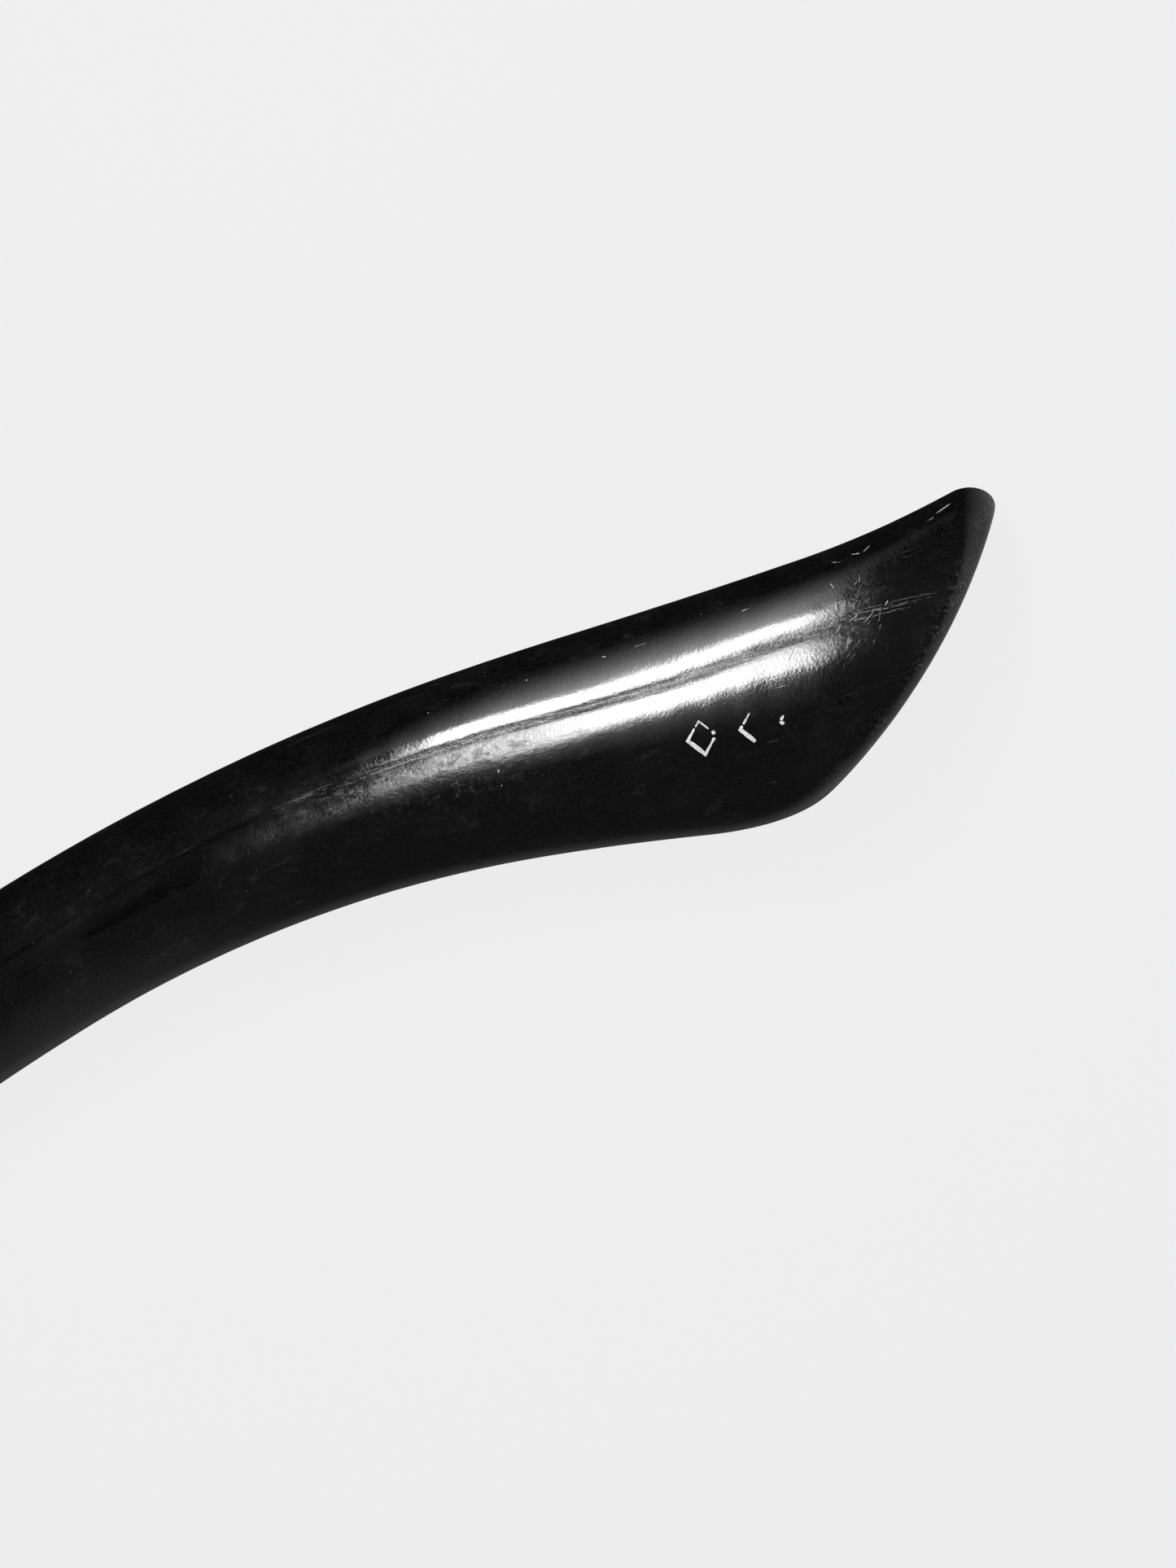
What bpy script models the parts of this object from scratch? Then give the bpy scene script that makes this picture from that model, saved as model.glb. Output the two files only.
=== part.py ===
"""A shofar: a polished black horn with a flared, obliquely sawn bell, lying on its flattened side.

Metres, +Z up. The bell's straight stretch points along +X. The origin is on the resting plane under the
horn's centreline, where the bell's straight stretch begins. A station is a distance along the centreline
from there, positive towards the bell mouth and negative towards the neck.
"""

import math

import bmesh
import bpy
import numpy as np

# Centreline
NECK_END = -0.345
BEND_START = 0.011
BEND_END = -0.290
BEND_BLEND = 0.070
BEND_RADIUS = 0.358

# Outer section: half-breadth across the lying horn, half-thickness up and down
WAIST = -0.150
WAIST_HALF_BREADTH = 0.0176
WAIST_HALF_THICKNESS = 0.0152
NECK_RADIUS = 0.0105
BREADTH_GROWTH = 0.337
THICKNESS_GROWTH = 0.065
FLARE_START = 0.030
FLARE_GROWTH = 2.1
LIP_THINNING = 1.0

# The side that the horn rests on
FLAT_DEPTH = 0.0020
FLAT_EDGE = 0.0008
NECK_HEIGHT = 0.0132
NECK_LIFT_START = -0.150
NECK_LIFT_LENGTH = 0.120

# Bore: drilled through the solid tip, then the horn's own cavity
BORE_RADIUS = 0.0042
SOCKET_RADIUS = 0.0070
SOCKET_DEPTH = 0.0220
CAVITY_START = -0.250
CAVITY_BLEND = 0.120
WALL_SIDE = 0.0067
WALL_FLAT = 0.0045
BORE_LIFT = 0.0005
BORE_SHIFT = 0.0010
BORE_SHIFT_START = -0.050
BORE_SHIFT_LENGTH = 0.060

# Mouth: sawn along an upright arc, then rounded over
MOUTH_CENTRE = (-0.0567, 0.1020)
MOUTH_RADIUS = 0.1496
ROUND_OVER = 0.0032
TIP_ROUND_OVER = 0.0135
HEEL_ROUND_OVER = 0.0190
INNER_ROUND_OVER = 0.0014
INNER_ROOM = 1.3  # the least flat beside the inner round-over, as a share of it
NECK_ROUND_OVER = 0.0010
SOCKET_CHAMFER = 0.0005
SOCKET_CLEAR = 0.004  # the least length of plain bore kept ahead of the socket's floor

# Mouthpiece, along its own axis from the neck's sawn face
GAP = 0.0003
SHANK_LENGTH = 0.0215
COLLAR_RADIUS = 0.0064
GROOVE_RADIUS = 0.0050
GROOVE_FAR = 0.0190
GROOVE_NEAR = 0.0030
SHOULDER_RADIUS = 0.0103
WAIST_RADIUS = 0.0084
RIM_RADIUS = 0.0120
CUP_RADIUS = 0.0082
RIM_HEIGHT = 0.0250
CUP_DEPTH = 0.0120
THROAT_RADIUS = 0.0021
THROAT_LENGTH = 0.0020
BACKBORE_RADIUS = 0.0036
MOUTHPIECE_CHAMFER = 0.0005
WAIST_AT = 0.0110
CUP_BOTTOM = (0.0018, 0.0029)  # above the throat, and its radius
CORK_SOFT_EDGE = 0.0004

# Inlaid marks: worn lozenges in a row along the bell
MARK_STATIONS = (0.0027, 0.0141, 0.0228)
# The sides of each lozenge that are left, counted round from the bell mouth
MARK_SPANS = ((0.0, 4.0), (1.10, 2.90), (1.65, 2.25))
MARK_ROW = -0.0045
MARK_HALF_LENGTH = 0.0031
MARK_HALF_HEIGHT = 0.0036
MARK_STROKE = 0.0009
LOZENGE = ((1, 0), (0, 1), (-1, 0), (0, -1))
MARK_THICKNESS = 0.0007
POCKET_DEPTH = 0.0010
POCKET_OVERCUT = 0.0010

# Mesh density
AROUND = 48
OUTER_RINGS = 34
INNER_RINGS = 26
ROUND_RINGS = 5
MOUTHPIECE_SIDES = 32
MARK_STEPS = 4
CUT_STEPS = 60
SMALL_STEP = 1e-4


def smooth(x):
    """0 to 1 with level ends."""
    x = np.clip(x, 0.0, 1.0)
    return x * x * (3.0 - 2.0 * x)


def mix(a, b, k):
    return a + (b - a) * k


# Centreline ---------------------------------------------------------------

def centreline_table(count=3000):
    """Stations with the centreline's heading and position, from the neck's end to past the mouth."""
    s = np.linspace(NECK_END - 0.01, 0.11, count)
    into = smooth((BEND_START - s) / BEND_BLEND)
    out = smooth((s - BEND_END) / BEND_BLEND + 0.5)
    bend = into * out / BEND_RADIUS
    step = s[1] - s[0]
    turned = np.concatenate([[0.0], np.cumsum(0.5 * (bend[1:] + bend[:-1]) * step)])
    heading = turned[-1] - turned
    x = np.concatenate([[0.0], np.cumsum(np.cos(0.5 * (heading[1:] + heading[:-1])) * step)])
    y = np.concatenate([[0.0], np.cumsum(np.sin(0.5 * (heading[1:] + heading[:-1])) * step)])
    return s, heading, x - np.interp(0.0, s, x), y - np.interp(0.0, s, y)


TABLE = centreline_table()


def place(s, lateral, height):
    """World points at a station, a distance to the left of the centreline and a height."""
    heading = np.interp(s, TABLE[0], TABLE[1])
    x = np.interp(s, TABLE[0], TABLE[2]) - np.sin(heading) * lateral
    y = np.interp(s, TABLE[0], TABLE[3]) + np.cos(heading) * lateral
    return np.stack(np.broadcast_arrays(x, y, height), axis=-1)


# Outer surface ------------------------------------------------------------

def belly(s, half_at_waist, growth):
    """Half a section's size: parabolic growth to the bell, an eased taper to the round neck."""
    grown = half_at_waist + growth * np.maximum(s - WAIST, 0.0) ** 2
    return mix(grown, NECK_RADIUS, smooth((WAIST - s) / (WAIST - NECK_END)))


def half_breadth(s):
    plain = belly(s, WAIST_HALF_BREADTH, BREADTH_GROWTH)
    return plain + FLARE_GROWTH * np.maximum(s - FLARE_START, 0.0) ** 2


def half_thickness(s):
    thinned = LIP_THINNING * np.maximum(s - FLARE_START, 0.0) ** 2
    return belly(s, WAIST_HALF_THICKNESS, THICKNESS_GROWTH) - thinned


def centre_height(s):
    lift = smooth((NECK_LIFT_START - s) / NECK_LIFT_LENGTH)
    return mix(half_thickness(s) - FLAT_DEPTH, NECK_HEIGHT, lift)


def pressed(z):
    """Heights below the resting plane pressed up onto it, with a soft edge to the flat."""
    soft = (z + FLAT_EDGE) ** 2 / (4.0 * FLAT_EDGE)
    return np.where(z < -FLAT_EDGE, 0.0, np.where(z > FLAT_EDGE, z, soft))


def outer(s, angle):
    z = pressed(centre_height(s) + half_thickness(s) * np.sin(angle))
    return place(s, half_breadth(s) * np.cos(angle), z)


# Bore ---------------------------------------------------------------------

def bore_size(s):
    """Half-breadth, half-thickness, sideways shift and centre height of the bore."""
    cavity = smooth((s - CAVITY_START) / CAVITY_BLEND)
    breadth = mix(BORE_RADIUS, belly(s, WAIST_HALF_BREADTH, BREADTH_GROWTH) - WALL_SIDE, cavity)
    thickness = mix(BORE_RADIUS, half_thickness(s) - WALL_FLAT, cavity)
    shift = BORE_SHIFT * smooth((s - BORE_SHIFT_START) / BORE_SHIFT_LENGTH)
    return breadth, thickness, shift, centre_height(s) + BORE_LIFT * cavity


def bore(s, angle):
    breadth, thickness, shift, centre = bore_size(s)
    return place(s, shift + breadth * np.cos(angle), centre + thickness * np.sin(angle))


def neck_circle(s, radius, angle):
    return place(np.full_like(angle, s), radius * np.cos(angle), NECK_HEIGHT + radius * np.sin(angle))


# Mouth --------------------------------------------------------------------

def mouth_x(y):
    return MOUTH_CENTRE[0] + np.sqrt(MOUTH_RADIUS ** 2 - (y - MOUTH_CENTRE[1]) ** 2)


def cut_station(surface, angle):
    """Where each lengthwise line of a surface meets the sawn face."""
    s = np.full_like(angle, MOUTH_CENTRE[0] + MOUTH_RADIUS)
    for _ in range(CUT_STEPS):
        s = mouth_x(surface(s, angle)[..., 1])
    return s


def face_point(start, end, k):
    """A point on the sawn face, a share k of the way from its outer to its inner edge."""
    point = mix(start, end, np.asarray(k)[..., None])
    point[..., 0] = mouth_x(point[..., 1])
    return point


def rounded(start, corner, end, count):
    """Rings of a round corner, tangent to corner-start and corner-end, without its first ring."""
    before = start - corner
    after = end - corner
    cosine = np.sum(before * after, axis=-1)
    cosine /= np.linalg.norm(before, axis=-1) * np.linalg.norm(after, axis=-1)
    weight = np.sqrt(0.5 * (1.0 - cosine))[..., None]
    rings = []
    for t in np.linspace(0.0, 1.0, count + 1)[1:]:
        bend = 2.0 * weight * t * (1.0 - t)
        share = (1.0 - t) ** 2 + bend + t * t
        rings.append(((1.0 - t) ** 2 * start + bend * corner + t * t * end) / share)
    return rings


def slid_stations(end, count):
    """Stations from the neck's end, which slide out to the sheared mouth only in the bell."""
    middle = float(np.mean(end))
    for u in np.linspace(0.0, 1.0, count):
        yield mix(NECK_END, middle, u) + (end - middle) * smooth(2.0 * u - 1.0)


def horn_rings():
    """Closed tour of the wall: out along the outside, over the rim, back down the bore, out of the neck."""
    angle = np.linspace(0.0, 2.0 * math.pi, AROUND, endpoint=False)
    across = np.cos(angle)
    round_over = (
        ROUND_OVER
        + (TIP_ROUND_OVER - ROUND_OVER) * np.maximum(across, 0.0) ** 3
        + (HEEL_ROUND_OVER - ROUND_OVER) * np.maximum(-across, 0.0) ** 3
    )
    outer_cut = cut_station(outer, angle)
    inner_cut = cut_station(bore, angle)
    edge = outer(outer_cut, angle)
    brink = bore(inner_cut, angle)
    width = np.linalg.norm(brink - edge, axis=-1)
    reach = np.minimum(round_over, width - INNER_ROOM * INNER_ROUND_OVER)

    outside = list(slid_stations(outer_cut - round_over, OUTER_RINGS))
    rings = [outer(s, angle) for s in outside]
    rings[0] = neck_circle(NECK_END + NECK_ROUND_OVER, NECK_RADIUS, angle)
    rings += rounded(rings[-1], edge, face_point(edge, brink, reach / width), ROUND_RINGS)
    inner_start = face_point(edge, brink, 1.0 - INNER_ROUND_OVER / width)
    inside = list(slid_stations(inner_cut - INNER_ROUND_OVER, INNER_RINGS))
    rings.append(inner_start)
    rings += rounded(inner_start, brink, bore(inside[-1], angle), 3)
    socket_floor = NECK_END + SOCKET_DEPTH
    rings += [bore(s, angle) for s in reversed(inside[:-1]) if np.min(s) > socket_floor + SOCKET_CLEAR]
    rings.append(neck_circle(socket_floor, BORE_RADIUS, angle))
    rings.append(neck_circle(socket_floor, SOCKET_RADIUS, angle))
    rings.append(neck_circle(NECK_END + SOCKET_CHAMFER, SOCKET_RADIUS, angle))
    rings.append(neck_circle(NECK_END, SOCKET_RADIUS + SOCKET_CHAMFER, angle))
    rings.append(neck_circle(NECK_END, NECK_RADIUS - NECK_ROUND_OVER, angle))
    eased = (1.0 - math.sqrt(0.5)) * NECK_ROUND_OVER
    rings.append(neck_circle(NECK_END + eased, NECK_RADIUS - eased, angle))
    return rings


# Mesh and material helpers --------------------------------------------------

def clear_scene():
    for old in list(bpy.data.objects):
        bpy.data.objects.remove(old)


def material(name, colour, roughness):
    made = bpy.data.materials.new(name)
    made.use_nodes = True
    shader = made.node_tree.nodes["Principled BSDF"]
    shader.inputs["Base Color"].default_value = (*colour, 1.0)
    shader.inputs["Roughness"].default_value = roughness
    return made


def add_object(name, bm, finish, crease=math.radians(40.0)):
    bmesh.ops.recalc_face_normals(bm, faces=bm.faces)
    mesh = bpy.data.meshes.new(name)
    bm.to_mesh(mesh)
    bm.free()
    mesh.shade_smooth()
    mesh.set_sharp_from_angle(angle=crease)
    made = bpy.data.objects.new(name, mesh)
    mesh.materials.append(finish)
    bpy.context.scene.collection.objects.link(made)
    return made


def tour(rings, closed_along=True, closed_around=True):
    """A bmesh skin over rings of points, capped where the rings don't come back to the first."""
    bm = bmesh.new()
    rows = [[bm.verts.new(point) for point in ring] for ring in rings]
    around = len(rows[0])
    pairs = list(zip(rows, rows[1:]))
    if closed_along:
        pairs.append((rows[-1], rows[0]))
    for a, b in pairs:
        for i in range(around if closed_around else around - 1):
            j = (i + 1) % around
            bm.faces.new((a[i], a[j], b[j], b[i]))
    if not closed_along:
        bm.faces.new(rows[0])
        bm.faces.new(rows[-1])
    return bm


def turned(name, profile, sides, finish):
    """A closed (axial, radius) profile spun round the mouthpiece axis, standing out of the neck."""
    heading = float(np.interp(NECK_END, TABLE[0], TABLE[1]))
    base = place(NECK_END, 0.0, NECK_HEIGHT)
    out = np.array([-math.cos(heading), -math.sin(heading), 0.0])
    side = np.array([-math.sin(heading), math.cos(heading), 0.0])
    up = np.array([0.0, 0.0, 1.0])
    rings = []
    for turn in np.linspace(0.0, 2.0 * math.pi, sides, endpoint=False):
        radial = side * math.cos(turn) + up * math.sin(turn)
        rings.append([radial * radius + out * axial for axial, radius in profile])
    made = add_object(name, tour(rings), finish)
    made.location = base
    return made


def curve(p0, p1, p2, p3, count):
    """Points of a cubic curve after its first."""
    t = np.linspace(0.0, 1.0, count + 1)[1:, None]
    p0, p1, p2, p3 = (np.array(p) for p in (p0, p1, p2, p3))
    points = (1 - t) ** 3 * p0 + 3 * (1 - t) ** 2 * t * p1 + 3 * (1 - t) * t * t * p2 + t ** 3 * p3
    return [tuple(point) for point in points]


# Pieces ---------------------------------------------------------------------

def make_horn(finish, pockets):
    horn = add_object("horn_body", tour(horn_rings()), finish)
    for pocket in pockets:
        cut = horn.modifiers.new(pocket.name, "BOOLEAN")
        cut.operation = "DIFFERENCE"
        cut.solver = "EXACT"
        cut.object = pocket
    return horn


def make_mouthpiece(finish):
    """Shank and grooved tenon, shoulder against the neck, waisted body, rim, cup, throat and backbore."""
    chamfer = MOUTHPIECE_CHAMFER
    rim_round = 0.5 * (RIM_RADIUS - CUP_RADIUS)
    rim_low = RIM_HEIGHT - rim_round
    throat = RIM_HEIGHT - CUP_DEPTH
    profile = [
        (-SHANK_LENGTH, BACKBORE_RADIUS),
        (-SHANK_LENGTH, COLLAR_RADIUS - chamfer),
        (-SHANK_LENGTH + chamfer, COLLAR_RADIUS),
        (-GROOVE_FAR, COLLAR_RADIUS),
        (-GROOVE_FAR, GROOVE_RADIUS),
        (-GROOVE_NEAR, GROOVE_RADIUS),
        (-GROOVE_NEAR, COLLAR_RADIUS),
        (GAP, COLLAR_RADIUS),
        (GAP, SHOULDER_RADIUS - chamfer),
        (GAP + chamfer, SHOULDER_RADIUS),
    ]
    half_way = 0.5 * WAIST_AT
    pulls = (half_way, SHOULDER_RADIUS), (half_way, WAIST_RADIUS)
    profile += curve(profile[-1], *pulls, (WAIST_AT, WAIST_RADIUS), 6)
    half_way = 0.5 * (WAIST_AT + rim_low)
    pulls = (half_way, WAIST_RADIUS), (half_way, RIM_RADIUS)
    profile += curve(profile[-1], *pulls, (rim_low, RIM_RADIUS), 7)
    middle = 0.5 * (RIM_RADIUS + CUP_RADIUS)
    for turn in np.linspace(0.0, math.pi, 9)[1:]:
        profile.append((rim_low + rim_round * math.sin(turn), middle + rim_round * math.cos(turn)))
    cup_low = (throat + CUP_BOTTOM[0], CUP_BOTTOM[1])
    cup_wall = (rim_low - 0.5 * CUP_DEPTH, CUP_RADIUS)
    cup_floor = (throat + 2.0 * CUP_BOTTOM[0], 2.0 * CUP_BOTTOM[1])
    profile += curve(profile[-1], cup_wall, cup_floor, cup_low, 8)
    grip = (throat, THROAT_RADIUS)
    profile += curve(profile[-1], grip, grip, (throat - THROAT_LENGTH, THROAT_RADIUS), 3)
    return turned("mouthpiece", profile, MOUTHPIECE_SIDES, finish)


def make_cork(finish):
    inside = GROOVE_RADIUS + GAP
    outside = SOCKET_RADIUS - GAP
    soft = CORK_SOFT_EDGE
    far = -GROOVE_FAR + GAP
    near = -GROOVE_NEAR - GAP
    profile = [
        (far, inside), (far, outside - soft), (far + soft, outside),
        (near - soft, outside), (near, outside - soft), (near, inside),
    ]
    return turned("shank_cork", profile, MOUTHPIECE_SIDES, finish)


def on_horn(x, y, depth):
    """A point a depth below the horn's upper surface, over a point of the plan."""
    angle = math.acos(y / float(half_breadth(x)))
    here = outer(x, angle)
    along = outer(x + SMALL_STEP, angle) - here
    about = outer(x, angle + SMALL_STEP) - here
    normal = np.cross(along, about)
    normal *= math.copysign(1.0, normal[2]) / np.linalg.norm(normal)
    return here - normal * depth


def side_normal(start, end):
    """Outward normal of a lozenge's side, from the corners that it joins."""
    across = np.array([(start[0] + end[0]) / MARK_HALF_LENGTH, (start[1] + end[1]) / MARK_HALF_HEIGHT])
    return across / np.linalg.norm(across)


def lozenge_point(station, quarters):
    """The point so many sides round a lozenge, and the step to the edge of a stroke of half-width 1."""
    side, part = divmod(quarters, 1.0)
    before, start, end = (LOZENGE[int(side + k) % 4] for k in (-1, 0, 1))
    normal = side_normal(start, end)
    if part == 0.0:
        mitre = normal + side_normal(before, start)
        normal = mitre / (mitre @ normal)
    x = station + MARK_HALF_LENGTH * mix(start[0], end[0], part)
    y = MARK_ROW + MARK_HALF_HEIGHT * mix(start[1], end[1], part)
    return x, y, normal


def stroke_solid(station, span, spare, top, bottom):
    """A stroke of rectangular section along a lozenge, following the horn's surface."""
    whole = span[1] - span[0] == 4.0
    margin = 0.0 if whole else spare / math.hypot(MARK_HALF_LENGTH, MARK_HALF_HEIGHT)
    inside = [k / MARK_STEPS for k in range(4 * MARK_STEPS) if span[0] < k / MARK_STEPS < span[1]]
    quarters = [span[0] - margin] + inside + ([] if whole else [span[1] + margin])
    half = 0.5 * MARK_STROKE + spare
    rings = []
    for value in quarters:
        x, y, (nx, ny) = lozenge_point(station, value)
        corners = []
        for offset, depth in ((half, top), (-half, top), (-half, bottom), (half, bottom)):
            corners.append(on_horn(x + nx * offset, y + ny * offset, depth))
        rings.append(corners)
    return tour(rings, closed_along=whole)


def make_marks(finish):
    """The inlays, and the cutters of the pockets that they sit in."""
    pockets = []
    for index, (station, span) in enumerate(zip(MARK_STATIONS, MARK_SPANS), start=1):
        solid = stroke_solid(station, span, 0.0, 0.0, MARK_THICKNESS)
        add_object(f"mark_inlay_{index}", solid, finish)
        cutter = stroke_solid(station, span, GAP, -POCKET_OVERCUT, POCKET_DEPTH)
        pocket = add_object(f"mark_pocket_{index}", cutter, finish)
        pocket.hide_render = True
        pocket.display_type = "WIRE"
        pockets.append(pocket)
    return pockets


def main():
    clear_scene()
    horn_finish = material("polished_black_horn", (0.006, 0.006, 0.006), 0.12)
    mouthpiece_finish = material("turned_black_horn", (0.010, 0.009, 0.009), 0.18)
    cork_finish = material("cork", (0.42, 0.27, 0.15), 0.85)
    mark_finish = material("white_inlay", (0.80, 0.80, 0.78), 0.45)
    pockets = make_marks(mark_finish)
    make_horn(horn_finish, pockets)
    make_mouthpiece(mouthpiece_finish)
    make_cork(cork_finish)


main()
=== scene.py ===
"""The shofar's looks: a finely modelled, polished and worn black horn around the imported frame."""
import math

import bmesh
import bpy
import numpy as np
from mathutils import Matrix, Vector


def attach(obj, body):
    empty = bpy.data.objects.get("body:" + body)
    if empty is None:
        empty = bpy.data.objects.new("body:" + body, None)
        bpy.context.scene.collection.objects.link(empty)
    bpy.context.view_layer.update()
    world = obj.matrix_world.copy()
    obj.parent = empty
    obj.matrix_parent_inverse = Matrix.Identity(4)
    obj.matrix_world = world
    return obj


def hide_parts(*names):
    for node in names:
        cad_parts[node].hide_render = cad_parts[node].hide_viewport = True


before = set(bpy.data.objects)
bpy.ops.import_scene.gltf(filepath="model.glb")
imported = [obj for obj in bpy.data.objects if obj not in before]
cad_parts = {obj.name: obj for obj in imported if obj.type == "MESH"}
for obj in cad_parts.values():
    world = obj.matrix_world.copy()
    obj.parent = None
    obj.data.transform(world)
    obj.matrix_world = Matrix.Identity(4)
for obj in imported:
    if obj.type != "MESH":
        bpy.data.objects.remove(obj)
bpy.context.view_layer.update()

# The horn's own dimensions, in metres, as in the frame's source ----------------
NECK_END = -0.345
BEND_START = 0.011
BEND_END = -0.290
BEND_BLEND = 0.070
BEND_RADIUS = 0.358
WAIST = -0.150
WAIST_HALF_BREADTH = 0.0176
WAIST_HALF_THICKNESS = 0.0152
NECK_RADIUS = 0.0105
BREADTH_GROWTH = 0.337
THICKNESS_GROWTH = 0.065
FLARE_START = 0.030
FLARE_GROWTH = 2.1
LIP_THINNING = 1.0
FLAT_DEPTH = 0.0020
FLAT_EDGE = 0.0008
NECK_HEIGHT = 0.0132
NECK_LIFT_START = -0.150
NECK_LIFT_LENGTH = 0.120
BORE_RADIUS = 0.0042
SOCKET_RADIUS = 0.0070
SOCKET_DEPTH = 0.0220
CAVITY_START = -0.250
CAVITY_BLEND = 0.120
WALL_SIDE = 0.0067
WALL_FLAT = 0.0045
BORE_LIFT = 0.0005
BORE_SHIFT = 0.0010
BORE_SHIFT_START = -0.050
BORE_SHIFT_LENGTH = 0.060
MOUTH_CENTRE = (-0.0567, 0.1020)
MOUTH_RADIUS = 0.1496
ROUND_OVER = 0.0032
TIP_ROUND_OVER = 0.0135
HEEL_ROUND_OVER = 0.0190
INNER_ROUND_OVER = 0.0014
INNER_ROOM = 1.3
NECK_ROUND_OVER = 0.0010
SOCKET_CHAMFER = 0.0005
SOCKET_CLEAR = 0.004
SOCKET_DEPTHS = (0.015, 0.010, 0.005, SOCKET_CHAMFER)

# Fine mesh
AROUND = 288
OUTER_RINGS = 420
INNER_RINGS = 200
ROUND_RINGS = 20
INNER_ROUND_RINGS = 8
NECK_ROUND_TURNS = (22.5, 45.0, 67.5)
CUT_GUESS = 0.05
CUT_STEPS = 40
SMALL_STEP = 1e-4
SMALL_TURN = 1e-3
SEED = 7

# Regions of the horn, in the order of its materials: polished outside, raw bore, sawn faces
OUTSIDE, BORE, SAWN = 0, 1, 2


def smooth(x):
    """0 to 1 with level ends."""
    x = np.clip(x, 0.0, 1.0)
    return x * x * (3.0 - 2.0 * x)


def grey(level):
    """A colour with no hue."""
    return level, level, level


def mix(a, b, k):
    """From a to b as k goes from 0 to 1."""
    return a + (b - a) * k


def hump(x, centre, width):
    """A bell curve of height 1."""
    return np.exp(-((x - centre) / width) ** 2)


# Centreline and sections --------------------------------------------------------

def centreline_table(count=3000):
    """Stations with the centreline's heading and position, from the neck's end to past the mouth."""
    s = np.linspace(NECK_END - 0.01, 0.11, count)
    into = smooth((BEND_START - s) / BEND_BLEND)
    out = smooth((s - BEND_END) / BEND_BLEND + 0.5)
    bend = into * out / BEND_RADIUS
    step = s[1] - s[0]
    turned = np.concatenate([[0.0], np.cumsum(0.5 * (bend[1:] + bend[:-1]) * step)])
    heading = turned[-1] - turned
    x = np.concatenate([[0.0], np.cumsum(np.cos(0.5 * (heading[1:] + heading[:-1])) * step)])
    y = np.concatenate([[0.0], np.cumsum(np.sin(0.5 * (heading[1:] + heading[:-1])) * step)])
    return s, heading, x - np.interp(0.0, s, x), y - np.interp(0.0, s, y)


TABLE = centreline_table()


def place(s, lateral, height):
    """World points at a station, a distance to the left of the centreline and a height."""
    heading = np.interp(s, TABLE[0], TABLE[1])
    x = np.interp(s, TABLE[0], TABLE[2]) - np.sin(heading) * lateral
    y = np.interp(s, TABLE[0], TABLE[3]) + np.cos(heading) * lateral
    return np.stack(np.broadcast_arrays(x, y, height), axis=-1)


def belly(s, half_at_waist, growth):
    """A half-size that grows from the waist to the mouth and narrows to the neck."""
    grown = half_at_waist + growth * np.maximum(s - WAIST, 0.0) ** 2
    return mix(grown, NECK_RADIUS, smooth((WAIST - s) / (WAIST - NECK_END)))


def half_breadth(s):
    """Half the horn's breadth, with the flare at the mouth."""
    plain = belly(s, WAIST_HALF_BREADTH, BREADTH_GROWTH)
    return plain + FLARE_GROWTH * np.maximum(s - FLARE_START, 0.0) ** 2


def half_thickness(s):
    """Half the horn's thickness, less what the lip loses towards the mouth."""
    thinned = LIP_THINNING * np.maximum(s - FLARE_START, 0.0) ** 2
    return belly(s, WAIST_HALF_THICKNESS, THICKNESS_GROWTH) - thinned


def centre_height(s):
    """Height of the centreline: the bell rests on its flat, and the neck is lifted a little."""
    lift = smooth((NECK_LIFT_START - s) / NECK_LIFT_LENGTH)
    return mix(half_thickness(s) - FLAT_DEPTH, NECK_HEIGHT, lift)


def pressed(z):
    """A height with everything under the table pressed flat, with a soft edge."""
    soft = (z + FLAT_EDGE) ** 2 / (4.0 * FLAT_EDGE)
    return np.where(z < -FLAT_EDGE, 0.0, np.where(z > FLAT_EDGE, z, soft))


def outer(s, angle):
    """The horn's plain outer surface."""
    z = pressed(centre_height(s) + half_thickness(s) * np.sin(angle))
    return place(s, half_breadth(s) * np.cos(angle), z)


def bore(s, angle):
    """The inner surface: a narrow bore in the neck that opens into the bell's cavity."""
    cavity = smooth((s - CAVITY_START) / CAVITY_BLEND)
    breadth = mix(BORE_RADIUS, belly(s, WAIST_HALF_BREADTH, BREADTH_GROWTH) - WALL_SIDE, cavity)
    thickness = mix(BORE_RADIUS, half_thickness(s) - WALL_FLAT, cavity)
    shift = BORE_SHIFT * smooth((s - BORE_SHIFT_START) / BORE_SHIFT_LENGTH)
    centre = centre_height(s) + BORE_LIFT * cavity
    return place(s, shift + breadth * np.cos(angle), centre + thickness * np.sin(angle))


def neck_circle(s, radius, angle):
    """A ring round the neck's axis."""
    return place(np.full_like(angle, s), radius * np.cos(angle), NECK_HEIGHT + radius * np.sin(angle))


# Mouth ----------------------------------------------------------------------------

def mouth_x(y):
    """The saw's arc across the bell."""
    return MOUTH_CENTRE[0] + np.sqrt(MOUTH_RADIUS ** 2 - (y - MOUTH_CENTRE[1]) ** 2)


def cut_station(surface, angle):
    """Stations at which a surface meets the saw's arc. The bell is straight there, so stations are X."""
    s = np.full_like(angle, CUT_GUESS)
    for _ in range(CUT_STEPS):
        s = mouth_x(surface(s, angle)[..., 1])
    return s


def face_point(start, end, k):
    """Points of the sawn face, a share of the way from one edge to the other."""
    point = mix(start, end, np.asarray(k)[..., None])
    point[..., 0] = mouth_x(point[..., 1])
    return point


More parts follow.
